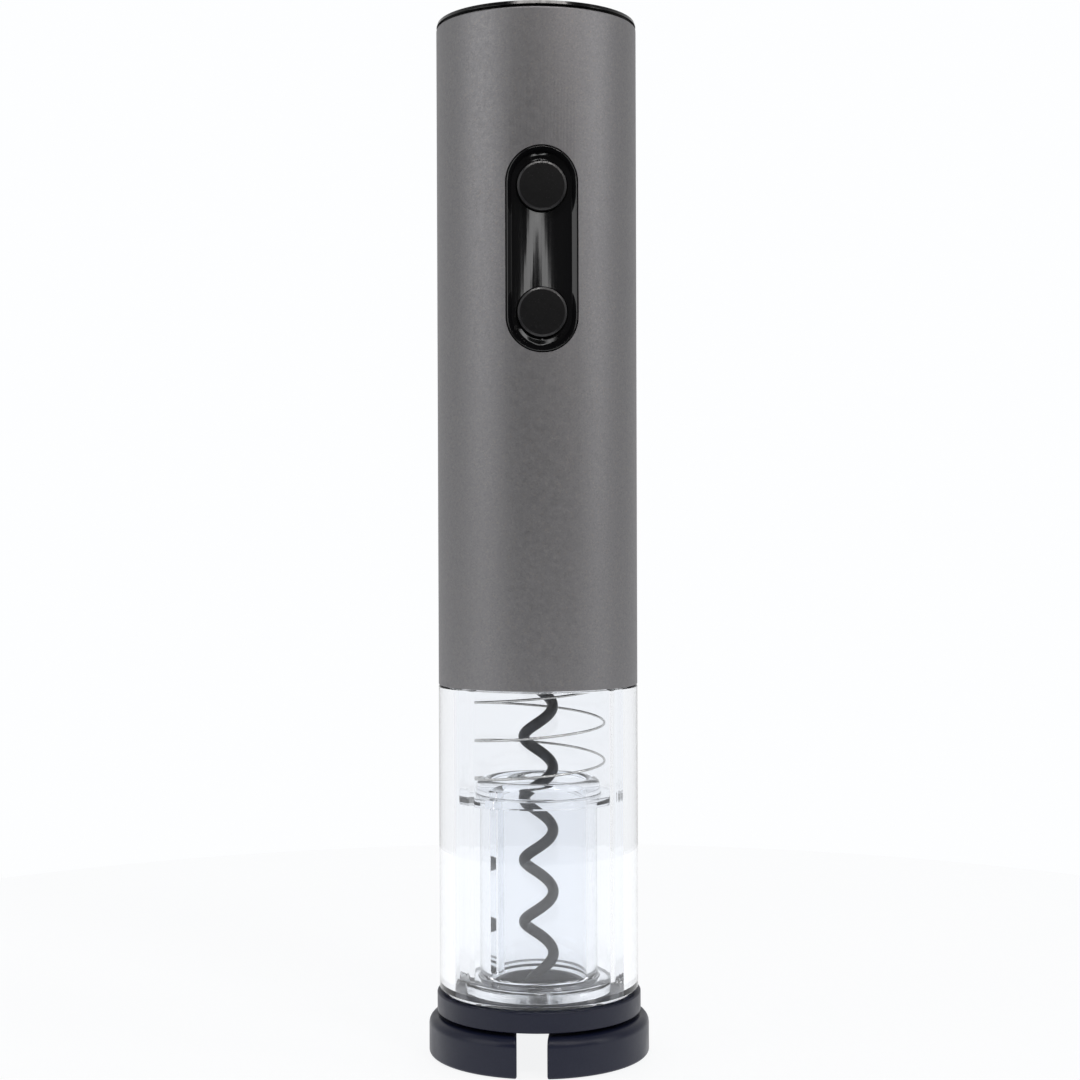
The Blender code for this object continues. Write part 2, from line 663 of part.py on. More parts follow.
def make_battery_pack(cap_group):
    half, offset = 4.0, CELL_OFFSET
    rim, post = 19.8, 2.4
    outline = [
        (0, 167.8), (rim, 167.8), (rim, TRAY_TOP), (post, TRAY_TOP), (post, 220.0),
        (post - 0.6, 221.0), (0, 221.0),
    ]
    tray = turned("battery_tray", outline, INNER_STEPS, "frame")
    boolean(tray, plate("tray_notch", rectangle(-9.4, -22.0, 9.4, -14.9), 166, 172, "frame"), "DIFFERENCE")
    low = TRAY_TOP + GAP
    high = low + CONTACT_THICKNESS
    positive = [
        (-10.3, -offset - half), (-5.8, -offset - half), (-5.8, -14.6), (-3.4, -14.6),
        (-3.4, -offset + half), (-10.3, -offset + half),
    ]
    plate("lower_positive_contact", positive, low, high, "nickel")
    negative = [
        (-3.4, 3.4), (-3.4, 11.4), (-15.6, 11.4), (-15.6, -7.0), (-11.5, -14.6), (-7.0, -14.6), (-7.0, -12.6),
        (-10.4, -12.6), (-13.2, -6.2), (-13.2, 3.4),
    ]
    ground = plate("lower_negative_contact", negative, low, high, "nickel")
    add_coil(ground, (-offset, offset), high - 0.1, HIGH_CELL - 0.7)
    bridge = rectangle(offset - half, -offset - half, offset + half, offset + half)
    link = plate("lower_bridge_contact", bridge, low, high, "nickel")
    add_coil(link, (offset, -offset), high - 0.1, HIGH_CELL - 0.7)
    top = CAP_FLOOR - GAP
    bottom = top - CONTACT_THICKNESS
    low_top = LOW_CELL + CELL_LENGTH
    for number, (side, x) in enumerate(((-1, -offset), (1, offset)), 1):
        strip = rectangle(-offset - half, side * offset - half, offset + half, side * offset + half)
        upper = plate(f"upper_bridge_contact_{number}", strip, bottom, top, "nickel", parent=cap_group)
        add_coil(upper, (x, side * offset), bottom + 0.1, low_top + 0.7)


def make_leads():
    for name, side, colour in (("red_lead", -1, "red"), ("black_lead", 1, "black_wire")):
        route = [
            (side * 7.2, 0, 162.6), (side * 8.2, -3.5, 163.0), (side * 7.0, -9.0, 163.2),
            (side * 5.5, -14.0, 163.9), (side * 5.0, -17.2, 166.0), (side * 4.8, -18.0, 169.0),
            (side * 4.8, -18.0, 171.6),
        ]
        wire(name, smooth_path(route, 3), 0.6, 5, colour)


def make_cap(parent):
    top, groove = 247.5, 23.2
    neck = SLEEVE_TOP + GAP
    outline = [
        (0, top), (23.5, top), (23.95, 247.2), (23.95, 246.9), (groove, 246.9), (groove, neck), (22.3, neck),
        (22.3, SHELL_TOP + 0.5), (20.8, SHELL_TOP + 0.5), (20.8, 245.2), (0, 245.2),
    ]
    turned("battery_cap", outline, HOUSING_STEPS, "black_gloss", parent=parent)
    outer, inner = 19.3, 18.1
    carrier = [
        (0, CAP_FLOOR), (outer, CAP_FLOOR), (outer, 244.8), (inner, 244.8),
        (inner, CAP_FLOOR + 1.5), (0, CAP_FLOOR + 1.5),
    ]
    turned("cap_contact_carrier", carrier, INNER_STEPS, "frame", parent=parent)


def pivoted(item, parent):
    """Puts the piece's origin on the jaws' pivot, and leaves its shape where it is."""
    item.data.transform(Matrix.Translation((0, -PIVOT_Y * MM, 0)))
    item.location = (0, PIVOT_Y * MM, 0)
    item.parent = parent
    return item


def make_jaw(name, side, frame):
    """One half of the ring, seen from above: side is -1 for the left jaw, and +1 for the right one."""
    seam = 0.5
    bevel = 2.0
    outline = [(JAW_BORE, 0), (JAW_RADIUS - 0.4, 0), (JAW_RADIUS, 0.4), (JAW_RADIUS, JAW_TOP - bevel)]
    for angle in (30.0, 60.0, 90.0):
        out, up = polar(bevel, angle)
        outline.append((JAW_RADIUS - bevel + out, JAW_TOP - bevel + up))
    outline += [(JAW_BORE + 0.6, JAW_TOP), (JAW_BORE, JAW_TOP - 0.6)]
    slot_angle = 2.0
    seam_angle = math.degrees(math.asin(seam / JAW_RADIUS))
    if side < 0:
        jaw = sector(name, outline, 90 + seam_angle, 270 - slot_angle, 16, "cutter")
    else:
        jaw = sector(name, outline, -90 + slot_angle, 90 - seam_angle, 16, "cutter")
    pivoted(jaw, frame)
    half = SLOT_WIDTH / 2
    slot = plate(f"{name}_slot", rectangle(-half, -30.0, half, -10.0), -1.0, 11.0, "steel", parent=frame)
    boolean(jaw, slot, "DIFFERENCE")
    lug_low, lug_high = (3.4, 6.4) if side < 0 else (0.4, 3.1)
    other_low, other_high = (-1.0, 3.2) if side < 0 else (3.0, 12.0)
    clear = cylinder_between(f"{name}_clear", (0, PIVOT_Y), 4.5, other_low, other_high, 16, parent=frame)
    boolean(jaw, clear, "DIFFERENCE")
    lug = cylinder_between(f"{name}_lug", (0, PIVOT_Y), 4.1, lug_low, lug_high, 16, parent=frame)
    boolean(jaw, lug, "UNION")
    pocket = plate(f"{name}_pocket", rectangle(-7.0, 18.2, 7.0, 25.0), 6.2, 11.0, "steel", parent=frame)
    boolean(jaw, pocket, "DIFFERENCE")
    drill(jaw, (0, PIVOT_Y), 1.7, -1.0, 11.0, parent=frame)
    drill(jaw, (0, PIVOT_Y), 2.9, -1.0, 1.3, 16, parent=frame)
    for angle in WHEEL_ANGLES:
        x, y = polar(WHEEL_ORBIT, angle)
        if x * side > 0:
            room = [(0, -2.6), (1.05, -2.6), (1.05, -1.0), (WHEEL_RADIUS + 0.5, -1.0)]
            room += [(r, -z) for r, z in reversed(room)]
            hollow = turned(f"{name}_wheel_room", room, 16, "steel", parent=frame, location=(x, y, WHEEL_Z))
            boolean(jaw, hollow, "DIFFERENCE")
    return jaw


def make_foil_cutter(frame):
    outline = [
        (0, 12.9), (17.6, 12.9), (17.6, COLLAR_BOTTOM), (COLLAR_RADIUS - 0.3, COLLAR_BOTTOM),
        (COLLAR_RADIUS, COLLAR_BOTTOM + 0.3), (COLLAR_RADIUS, COLLAR_TOP - 0.3),
        (COLLAR_RADIUS - 0.3, COLLAR_TOP), (11.2, COLLAR_TOP), (11.2, 17.4), (9.7, 17.4),
        (9.7, COLLAR_TOP), (0, COLLAR_TOP),
    ]
    collar = turned("cutter_collar", outline, HOUSING_STEPS, "cutter", parent=frame)
    drill(collar, (0, PIVOT_Y), 1.7, COLLAR_BOTTOM - 1, 13.4, parent=frame)
    pin = [(0, 0.2), (2.5, 0.2), (2.5, 1.0), (1.35, 1.0), (1.35, 13.0), (0, 13.0)]
    turned("pivot_pin", pin, 16, "steel", (0, PIVOT_Y), parent=frame)
    coil_radius, leg = 2.1, 5.6
    low, high = 6.9, 8.7
    coil = helix(coil_radius, (high - low) / 2, low, high, 270, 10)
    route = [(-leg, -coil_radius, low), *coil, (leg, -coil_radius, high)]
    path = [Vector(p) + Vector((0, PIVOT_Y, 0)) for p in route]
    wire("jaw_spring", path, 0.35, 5, "steel", parent=frame)
    make_jaw("jaw_left", -1, frame)
    make_jaw("jaw_right", 1, frame)
    rim, stub = 0.12, 0.75
    wheel = [
        (0, -2.2), (stub, -2.2), (stub, -0.7), (2.2, -0.7), (WHEEL_RADIUS, -rim), (WHEEL_RADIUS, rim),
        (2.2, 0.7), (stub, 0.7), (stub, 2.2), (0, 2.2),
    ]
    mesh = loft_mesh("cutting_wheel", [circle(r, z, 12) for r, z in wheel])
    for number, angle in enumerate(WHEEL_ANGLES, 1):
        add_object(f"cutting_wheel_{number}", mesh, "steel", frame, (*polar(WHEEL_ORBIT, angle), WHEEL_Z))


def main():
    clear_objects()
    output_group = group("worm_axis")
    first_group = group("first_carrier_axis")
    rotor_group = group("motor_axis")
    cap_group = group("battery_cap_axis")
    cutter_group = group("foil_cutter_axis", turn=CUTTER_TURN)
    make_sleeve()
    make_bezel()
    make_buttons()
    make_switch_board()
    make_barrel()
    make_guide()
    make_guide_spring()
    make_worm(output_group)
    make_gear_train(output_group, first_group)
    make_gearbox()
    make_screws()
    make_motor(rotor_group)
    make_chassis()
    make_cells()
    make_battery_pack(cap_group)
    make_leads()
    make_cap(cap_group)
    make_foil_cutter(cutter_group)


main()
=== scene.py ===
"""Looks of the electric wine opener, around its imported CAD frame."""

import json
import math

import bmesh
import bpy
from mathutils import Matrix, Vector


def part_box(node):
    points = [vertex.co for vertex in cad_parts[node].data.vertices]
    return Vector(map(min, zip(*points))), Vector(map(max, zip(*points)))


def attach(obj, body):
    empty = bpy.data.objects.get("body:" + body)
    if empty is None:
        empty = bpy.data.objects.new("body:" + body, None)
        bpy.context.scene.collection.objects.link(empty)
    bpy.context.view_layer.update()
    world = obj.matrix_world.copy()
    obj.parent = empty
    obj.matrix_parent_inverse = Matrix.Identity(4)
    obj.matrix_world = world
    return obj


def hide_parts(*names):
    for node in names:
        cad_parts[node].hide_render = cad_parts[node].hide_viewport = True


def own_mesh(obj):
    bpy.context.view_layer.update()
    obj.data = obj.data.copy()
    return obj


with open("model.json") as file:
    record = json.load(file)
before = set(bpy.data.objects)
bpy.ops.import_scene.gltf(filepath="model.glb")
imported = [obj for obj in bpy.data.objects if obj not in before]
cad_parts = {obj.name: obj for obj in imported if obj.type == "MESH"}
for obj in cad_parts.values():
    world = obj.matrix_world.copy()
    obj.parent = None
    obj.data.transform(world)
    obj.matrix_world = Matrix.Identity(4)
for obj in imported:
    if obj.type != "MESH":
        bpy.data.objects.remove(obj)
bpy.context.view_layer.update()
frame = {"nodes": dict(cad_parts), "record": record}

MM = 0.001
SLOTS = {piece["node"]: piece["material_slot"] for piece in frame["record"]["subparts"]}

# Driving dimensions in millimetres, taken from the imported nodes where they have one
SLEEVE_LOW, SLEEVE_HIGH = (corner.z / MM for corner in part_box("housing_sleeve"))
BODY_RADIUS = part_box("housing_sleeve")[1].x / MM
SLEEVE_INNER = 22.7
INSERT_RADIUS = 22.3  # what the cap and the barrel have inside the sleeve's ends
PANEL_LOW, PANEL_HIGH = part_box("switch_bezel")
PANEL_Z = (PANEL_LOW.z + PANEL_HIGH.z) / 2 / MM
PANEL_WIDTH = (PANEL_HIGH.x - PANEL_LOW.x) / MM
PANEL_HEIGHT = (PANEL_HIGH.z - PANEL_LOW.z) / MM
PANEL_FRONT = 24.15
PANEL_BACK = 21.0
PANEL_GAP = 0.25
BUTTONS = ("up_button", "down_button")
BUTTON_RADIUS = 5.68
BUTTON_FRONT = 23.75
BUTTON_BACK = 20.7
BARREL_LOW, BARREL_TOP = (corner.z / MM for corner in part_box("clear_barrel"))
BARREL_INNER = 20.6
PIVOT_Y = 22.2
PIVOT_HOLE = 1.7

# How far the cutter and the camera stand round from the panel
CUTTER_TURN = math.radians(-6.8)
VIEW_DEGREES = 3.1

# Sides of a turned piece, of one whose outline shows against the background, and of a button
ROUND_STEPS = 128
FINE_STEPS = 192
BUTTON_STEPS = 96

# The studio: its white, and how bright the room is in front of the object and behind it
WHITE = (0.985, 0.992, 1.0)
FRONT_ROOM = 0.045
BACK_ROOM = 0.62


def middle(node):
    """The centre of a CAD node's box in millimetres."""
    low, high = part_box(node)
    return (low + high) / 2 / MM


# ---------------------------------------------------------------- meshes


def fillet(corners, segments=4, closed=True):
    """An outline with rounded corners. A corner is (r, z), or (r, z, radius) where it is round."""
    points = []
    for i, corner in enumerate(corners):
        here = Vector(corner[:2])
        is_end = not closed and i in (0, len(corners) - 1)
        if len(corner) == 2 or is_end:
            points.append(tuple(here))
            continue
        radius = corner[2]
        back = (Vector(corners[i - 1][:2]) - here).normalized()
        ahead = (Vector(corners[(i + 1) % len(corners)][:2]) - here).normalized()
        half = back.angle(ahead) / 2
        centre = here + (back + ahead).normalized() * radius / math.sin(half)
        first = here + back * radius / math.tan(half) - centre
        last = here + ahead * radius / math.tan(half) - centre
        start = math.atan2(first.y, first.x)
        sweep = (math.atan2(last.y, last.x) - start + math.pi) % (2 * math.pi) - math.pi
        for k in range(segments + 1):
            angle = start + sweep * k / segments
            across, up = radius * math.cos(angle), radius * math.sin(angle)
            points.append((centre.x + across, centre.y + up))
    return points


def circle(radius, z, steps, centre=(0, 0)):
    """A loop of points at height z, or a single point where the radius is 0."""
    x, y = centre
    if radius == 0:
        return [(x, y, z)]
    angles = [2 * math.pi * i / steps for i in range(steps)]
    return [(x + radius * math.cos(a), y + radius * math.sin(a), z) for a in angles]


def loft(name, loops, ring=False, sharp=38.0):
    """An object skinned through loops in millimetres.

    All loops have the same count, apart from a loop of one point, which closes a fan. A ring joins
    its last loop to its first, and anything else is capped at both ends.
    """
    mesh = bmesh.new()
    rows = [[mesh.verts.new(Vector(p) * MM) for p in loop] for loop in loops]
    pairs = list(zip(rows, rows[1:]))
    if ring:
        pairs.append((rows[-1], rows[0]))
    for lower, upper in pairs:
        count = max(len(lower), len(upper))
        for i in range(count):
            j = (i + 1) % count
            corners = [lower[i % len(lower)], lower[j % len(lower)]]
            corners += [upper[j % len(upper)], upper[i % len(upper)]]
            mesh.faces.new(list(dict.fromkeys(corners)))
    if not ring:
        for row in (rows[0], rows[-1]):
            if len(row) > 2:
                mesh.faces.new(row)
    bmesh.ops.recalc_face_normals(mesh, faces=mesh.faces)
    data = bpy.data.meshes.new(name)
    mesh.to_mesh(data)
    mesh.free()
    item = bpy.data.objects.new(name, data)
    bpy.context.collection.objects.link(item)
    smooth(item, sharp)
    return item


def smooth(item, sharp):
    """Shades the object smooth, apart from edges sharper than this many degrees."""
    item.data.shade_smooth()
    item.data.set_sharp_from_angle(angle=math.radians(sharp))


def turned(name, outline, steps=ROUND_STEPS, centre=(0, 0), sharp=38.0):
    """A piece turned on a lathe from an outline of (radius, z)."""
    ring = all(r > 0 for r, z in outline)
    return loft(name, [circle(r, z, steps, centre) for r, z in outline], ring, sharp)


def sweep(name, path, radii, sides):
    """A round bar along a path of points in millimetres."""
    points = [Vector(p) for p in path]
    turns = [2 * math.pi * k / sides for k in range(sides)]
    loops = []
    across = None
    for i, point in enumerate(points):
        ahead = (points[min(i + 1, len(points) - 1)] - points[max(i - 1, 0)]).normalized()
        if across is None:
            across = ahead.orthogonal()
        across = (across - ahead * across.dot(ahead)).normalized()
        other = ahead.cross(across)
        spokes = [across * math.cos(a) + other * math.sin(a) for a in turns]
        loops.append([point + spoke * radii[i] for spoke in spokes])
    return loft(name, loops)


def stadium(width, height, z_centre, inset=0.0, steps=40):
    """Points (x, z) of an outline with round ends, moved inwards by inset."""
    radius = max(width / 2 - inset, 0.0)
    straight = (height - width) / 2
    points = []
    for side, start in ((1, 0.0), (-1, math.pi)):
        for i in range(steps + 1):
            angle = start + math.pi * i / steps
            z = z_centre + side * straight + radius * math.sin(angle)
            points.append((radius * math.cos(angle), z))
    return points


def carve(item, tool, operation="DIFFERENCE"):
    """Applies a Boolean and removes the tool."""
    modifier = item.modifiers.new("carve", "BOOLEAN")
    modifier.operation = operation
    modifier.solver = "EXACT"
    modifier.object = tool
    bake(item)
    bpy.data.objects.remove(tool, do_unlink=True)


def bake(item):
    """Applies the object's modifiers to its mesh."""
    shape = item.evaluated_get(bpy.context.evaluated_depsgraph_get())
    data = bpy.data.meshes.new_from_object(shape)
    item.modifiers.clear()
    item.data = data


def soften(item, width, segments, limit):
    """Rounds the edges sharper than limit in degrees, width in millimetres."""
    modifier = item.modifiers.new("soften", "BEVEL")
    modifier.width = width * MM
    modifier.segments = segments
    modifier.limit_method = "ANGLE"
    modifier.angle_limit = math.radians(limit)
    modifier.harden_normals = False
    bake(item)
    smooth(item, 38.0)


def even_normals(item):
    """Lets large faces set the normals, so that flats stay flat beside their rounded edges."""
    modifier = item.modifiers.new("even", "WEIGHTED_NORMAL")
    modifier.keep_sharp = True
    bake(item)


def place(item, body, node, material):
    """Puts a finished piece on its body, in place of its CAD node."""
    item.data.materials.clear()
    item.data.materials.append(material)
    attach(item, body)
    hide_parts(node)


# ---------------------------------------------------------------- materials


def set_range(node, start, end, low, high):
    """Sets a Map Range node to turn start..end into low..high."""
    for name, value in zip(("From Min", "From Max", "To Min", "To Max"), (start, end, low, high)):
        node.inputs[name].default_value = value


class Finish:
    """A Principled material and the texture nodes that feed it."""

    def __init__(self, name, colour, roughness, metallic=0.0, **sockets):
        self.material = bpy.data.materials.new(name)
        self.material.use_nodes = True
        self.tree = self.material.node_tree
        self.shader = self.tree.nodes["Principled BSDF"]
        self.shader.inputs["Base Color"].default_value = (*colour, 1.0)
        self.shader.inputs["Roughness"].default_value = roughness
        self.shader.inputs["Metallic"].default_value = metallic
        for socket, value in sockets.items():
            self.shader.inputs[socket.replace("_", " ")].default_value = value
        self.position = self.tree.nodes.new("ShaderNodeTexCoord").outputs["Object"]
        self.bumped = None

    def node(self, kind, **values):
        made = self.tree.nodes.new(kind)
        for name, value in values.items():
            if name in made.inputs:
                made.inputs[name].default_value = value
            else:
                setattr(made, name, value)
        return made

    def link(self, source, target):
        self.tree.links.new(source, target)

    def stretched(self, factors):
        """The position scaled along X, Y and Z, which draws a texture out into a grain."""
        mapping = self.node("ShaderNodeMapping")
        mapping.inputs["Scale"].default_value = factors
        self.link(self.position, mapping.inputs["Vector"])
        return mapping.outputs["Vector"]

    def noise(self, scale, detail=3.0, vector=None, rough=0.5):
        made = self.node("ShaderNodeTexNoise", Scale=scale, Detail=detail, Roughness=rough)
        self.link(vector or self.position, made.inputs["Vector"])
        return made.outputs["Fac"]

    def cells(self, scale, output="Color"):
        made = self.node("ShaderNodeTexVoronoi", Scale=scale)
        self.link(self.position, made.inputs["Vector"])
        return made.outputs[output]

    def ramp(self, source, low, high, start=0.3, end=0.7):
        """The source turned into a value between low and high."""
        made = self.node("ShaderNodeMapRange")
        set_range(made, start, end, low, high)
        self.link(source, made.inputs["Value"])
        return made.outputs["Result"]

    def tint(self, mask, colour):
        """Mixes a second colour into the base colour where the mask is 1."""
        mix = self.node("ShaderNodeMix", data_type="RGBA")
        first, second = [socket for socket in mix.inputs if socket.type == "RGBA"]
        base = self.shader.inputs["Base Color"]
        if base.is_linked:
            self.link(base.links[0].from_socket, first)
        else:
            first.default_value = base.default_value
        second.default_value = (*colour, 1.0)
        self.link(mask, mix.inputs["Factor"])
        self.link([socket for socket in mix.outputs if socket.type == "RGBA"][0], base)

    def roughen(self, source, low, high):
        self.link(self.ramp(source, low, high), self.shader.inputs["Roughness"])

    def bump(self, source, depth, strength=1.0):
        """Height from the source, with depth in millimetres."""
        made = self.node("ShaderNodeBump", Strength=strength, Distance=depth * MM)
        self.link(source, made.inputs["Height"])
        if self.bumped:
            self.link(self.bumped, made.inputs["Normal"])
        self.bumped = made.outputs["Normal"]
        self.link(self.bumped, self.shader.inputs["Normal"])


def sleeve_paint():
    """Satin gunmetal paint with a fine metallic flake and a few warm specks."""
    paint = Finish("sleeve_paint", (0.33, 0.326, 0.338), 0.53, 0.9)
    flake = paint.cells(3200)
    grey = paint.node("ShaderNodeSeparateColor")
    paint.link(flake, grey.inputs["Color"])
    paint.tint(paint.ramp(grey.outputs["Red"], 0.0, 0.55, 0.6, 1.0), (0.41, 0.4, 0.395))
    paint.tint(paint.ramp(grey.outputs["Green"], 0.0, 0.5, 0.6, 1.0), (0.256, 0.253, 0.266))
    paint.tint(paint.ramp(grey.outputs["Blue"], 0.0, 0.35, 0.93, 1.0), (0.46, 0.4, 0.35))
    paint.tint(paint.ramp(paint.noise(60, 4), 0.0, 0.25), (0.306, 0.303, 0.317))
    paint.roughen(paint.noise(900, 3), 0.49, 0.58)
    paint.bump(grey.outputs["Green"], 0.006, 0.35)
    paint.bump(paint.noise(1400, 2), 0.012, 0.3)
    return paint.material


def gloss_black(name, roughness=0.04, shade=(0.006, 0.006, 0.0068)):
    """Polished black plastic with specks of dust, and hairlines that only the highlights show."""
    gloss = Finish(name, shade, roughness, 0.0, IOR=1.52)
    scratches = gloss.noise(900, 2, gloss.stretched((1.0, 1.0, 0.04)))
    gloss.roughen(scratches, roughness * 0.7, roughness * 1.8)
    specks = gloss.cells(900, "Distance")
    gloss.tint(gloss.ramp(specks, 0.5, 0.0, 0.0, 0.06), (0.05, 0.05, 0.052))
    gloss.bump(gloss.noise(160, 2), 0.02, 0.25)
    return gloss.material


def matte_black():
    """Fine-grained moulded plastic with a little dust."""
    matte = Finish("button_grain", (0.003, 0.003, 0.0034), 0.46, 0.0, IOR=1.36)
    matte.tint(matte.ramp(matte.noise(2600, 4), 0.0, 0.6), (0.008, 0.008, 0.009))
    dust = matte.cells(1500, "Distance")
    matte.tint(matte.ramp(dust, 0.8, 0.0, 0.06, 0.18), (0.03, 0.03, 0.032))
    matte.roughen(matte.noise(1800, 3), 0.42, 0.6)
    matte.bump(matte.noise(5200, 2), 0.02, 0.5)
    return matte.material


def clear_plastic():
    """Polished clear plastic with faint flow marks and a little handling haze."""
    colour = (0.958, 0.969, 0.987)
    clear = Finish("clear_plastic", colour, 0.0, 0.0, IOR=1.49, Transmission_Weight=1.0)
    haze = clear.noise(220, 4, clear.stretched((1.0, 1.0, 0.35)))
    clear.roughen(haze, 0.0, 0.035)
    clear.tint(clear.ramp(clear.noise(90, 2), 0.0, 0.6), (0.942, 0.957, 0.98))
    clear.bump(clear.noise(45, 1, clear.stretched((1.0, 1.0, 0.2))), 0.015, 0.25)
    return clear.material


def cutter_plastic():
    """Blue-black satin plastic with a fine spark-eroded grain, rubbed shinier in patches."""
    satin = Finish("cutter_plastic", (0.006, 0.0082, 0.025), 0.38, 0.0, IOR=1.42)
    satin.tint(satin.ramp(satin.noise(2400, 4), 0.0, 0.5), (0.012, 0.0155, 0.037))
    satin.roughen(satin.noise(140, 4), 0.31, 0.45)
    satin.bump(satin.noise(3600, 3), 0.018, 0.45)
    return satin.material


def worm_coating():
    """Graphite-grey non-stick coating over steel, mottled, with thin rubbed streaks."""
    coat = Finish("worm_coating", (0.004, 0.0055, 0.011), 0.36, 0.0, IOR=1.28)
    coat.tint(coat.ramp(coat.noise(900, 5, rough=0.7), 0.0, 0.85, 0.42, 0.6), (0.02, 0.0235, 0.032))
    coat.tint(coat.ramp(coat.noise(2600, 3), 0.0, 0.5, 0.5, 0.7), (0.003, 0.0036, 0.006))
    coat.roughen(coat.noise(1200, 4), 0.26, 0.5)
    coat.bump(coat.noise(2200, 4), 0.03, 0.5)
    return coat.material


def metal(name, colour, roughness, grain=(1.0, 1.0, 12.0)):
    """Bare metal with a machining grain and a few duller patches."""
    bare = Finish(name, colour, roughness, 1.0)
    lines = bare.noise(700, 3, bare.stretched(grain))
    bare.tint(bare.ramp(lines, 0.0, 0.5), tuple(c * 0.72 for c in colour))
    bare.tint(bare.ramp(bare.noise(160, 4), 0.0, 0.35, 0.5, 0.75), tuple(c * 0.45 for c in colour))
    bare.roughen(lines, roughness * 0.75, roughness * 1.5)
    bare.bump(lines, 0.008, 0.5)
    return bare.material


def moulded(name, colour, roughness, grain=1600):
    """Moulded plastic with a cloudy tone and a fine grain."""
    plastic = Finish(name, colour, roughness)
    darker = tuple(c * 0.75 for c in colour)
    lighter = tuple(min(1.0, c * 1.3) for c in colour)
    plastic.tint(plastic.ramp(plastic.noise(220, 4), 0.0, 0.5), darker)
    plastic.tint(plastic.ramp(plastic.noise(grain * 2, 2), 0.0, 0.3), lighter)
    plastic.roughen(plastic.noise(grain, 3), roughness * 0.8, roughness * 1.2)
    plastic.bump(plastic.noise(grain, 3), 0.02, 0.4)
    return plastic.material


def stacked_iron():
    """The armature's sheets, one line each."""
    iron = Finish("laminations", (0.3, 0.29, 0.28), 0.4, 1.0)
    wave = iron.node("ShaderNodeTexWave", bands_direction="Z", Scale=640.0, Distortion=0.4)
    iron.link(iron.position, wave.inputs["Vector"])
    iron.tint(iron.ramp(wave.outputs["Fac"], 0.0, 0.8), (0.12, 0.1, 0.09))
    iron.roughen(iron.noise(500), 0.32, 0.5)
    iron.bump(wave.outputs["Fac"], 0.03, 0.6)
    return iron.material


def circuit_board():
    """Green solder mask over copper tracks."""
    board = Finish("circuit_board", (0.012, 0.075, 0.028), 0.3)
    tracks = board.node("ShaderNodeTexBrick", Scale=260.0)
    tracks.inputs["Color1"].default_value = (0, 0, 0, 1)
    tracks.inputs["Color2"].default_value = (0, 0, 0, 1)
    tracks.inputs["Mortar"].default_value = (1, 1, 1, 1)
    tracks.inputs["Mortar Size"].default_value = 0.06
    turn = board.node("ShaderNodeMapping")
    turn.inputs["Rotation"].default_value = (math.pi / 2, 0, 0)
    board.link(board.position, turn.inputs["Vector"])
    board.link(turn.outputs["Vector"], tracks.inputs["Vector"])
    board.tint(board.ramp(tracks.outputs["Color"], 0.0, 0.75, 0.2, 0.8), (0.035, 0.16, 0.06))
    board.tint(board.ramp(board.noise(300), 0.0, 0.3), (0.008, 0.05, 0.02))
    board.roughen(board.noise(900), 0.24, 0.4)
    board.bump(tracks.outputs["Color"], 0.03, 0.5)
    return board.material


def cell_wrap():
    """Cell wrap: dark, with a warm metal band on the upper part of the cell."""
    band_low, band_edge = 0.2105, 0.0002
    wrap = Finish("cell_wrap", (0.03, 0.032, 0.038), 0.28, 0.3)
    split = wrap.node("ShaderNodeSeparateXYZ")
    wrap.link(wrap.position, split.inputs["Vector"])
    band = wrap.ramp(split.outputs["Z"], 0.0, 1.0, band_low, band_low + band_edge)
    wrap.tint(band, (0.5, 0.3, 0.12))
    wrap.tint(wrap.ramp(wrap.noise(400, 4), 0.0, 0.4), (0.06, 0.062, 0.07))
    wrap.roughen(wrap.noise(700), 0.22, 0.36)
    wrap.bump(wrap.noise(180, 2), 0.02, 0.3)
    return wrap.material


def slot_materials():
    """Materials by slot, for the remade pieces and for the CAD nodes that stay as they are."""
    return {
        "steel": metal("turned_steel", (0.56, 0.555, 0.54), 0.24),
        "brass": metal("turned_brass", (0.66, 0.45, 0.17), 0.26),
        "contact_nickel": metal("nickel_plate", (0.62, 0.6, 0.54), 0.3, (1.0, 1.0, 1.0)),
        "frame_plastic": moulded("frame_plastic", (0.055, 0.055, 0.06), 0.5),
        "gear_plastic": moulded("gear_plastic", (0.68, 0.68, 0.63), 0.42),
        "motor_steel": metal("zinc_plate", (0.52, 0.5, 0.46), 0.34, (1.0, 1.0, 0.1)),
        "laminations": stacked_iron(),
        "ferrite": moulded("ferrite", (0.05, 0.046, 0.044), 0.62, 2400),
        "circuit_board": circuit_board(),
        "cell_wrap": cell_wrap(),
        "red_insulation": moulded("red_insulation", (0.42, 0.02, 0.018), 0.38),
        "black_insulation": moulded("black_insulation", (0.014, 0.014, 0.015), 0.38),
        "black_matte": matte_black(),
        "black_gloss": gloss_black("cap_gloss", 0.12),
        "sleeve_metal": sleeve_paint(),
        "clear_plastic": clear_plastic(),
        "cutter_plastic": cutter_plastic(),
        "worm_coating": worm_coating(),
    }


# ---------------------------------------------------------------- the visible pieces


def make_sleeve(material):
    """The painted tube, with a window for the panel."""
    outer, inner = BODY_RADIUS, SLEEVE_INNER
    window_front, window_back = -26.0, -15.0
    outline = fillet([
        (outer, SLEEVE_LOW, 0.18), (outer, SLEEVE_HIGH, 0.45),
        (inner, SLEEVE_HIGH, 0.1), (inner, SLEEVE_LOW, 0.1),
    ])
    sleeve = turned("sleeve_shell", outline, FINE_STEPS)
    window = stadium(PANEL_WIDTH, PANEL_HEIGHT, PANEL_Z, -PANEL_GAP)
    loops = [[(x, y, z) for x, z in window] for y in (window_front, window_back)]
    carve(sleeve, loft("window", loops))
    even_normals(sleeve)
    place(sleeve, "housing", "housing_sleeve", material)


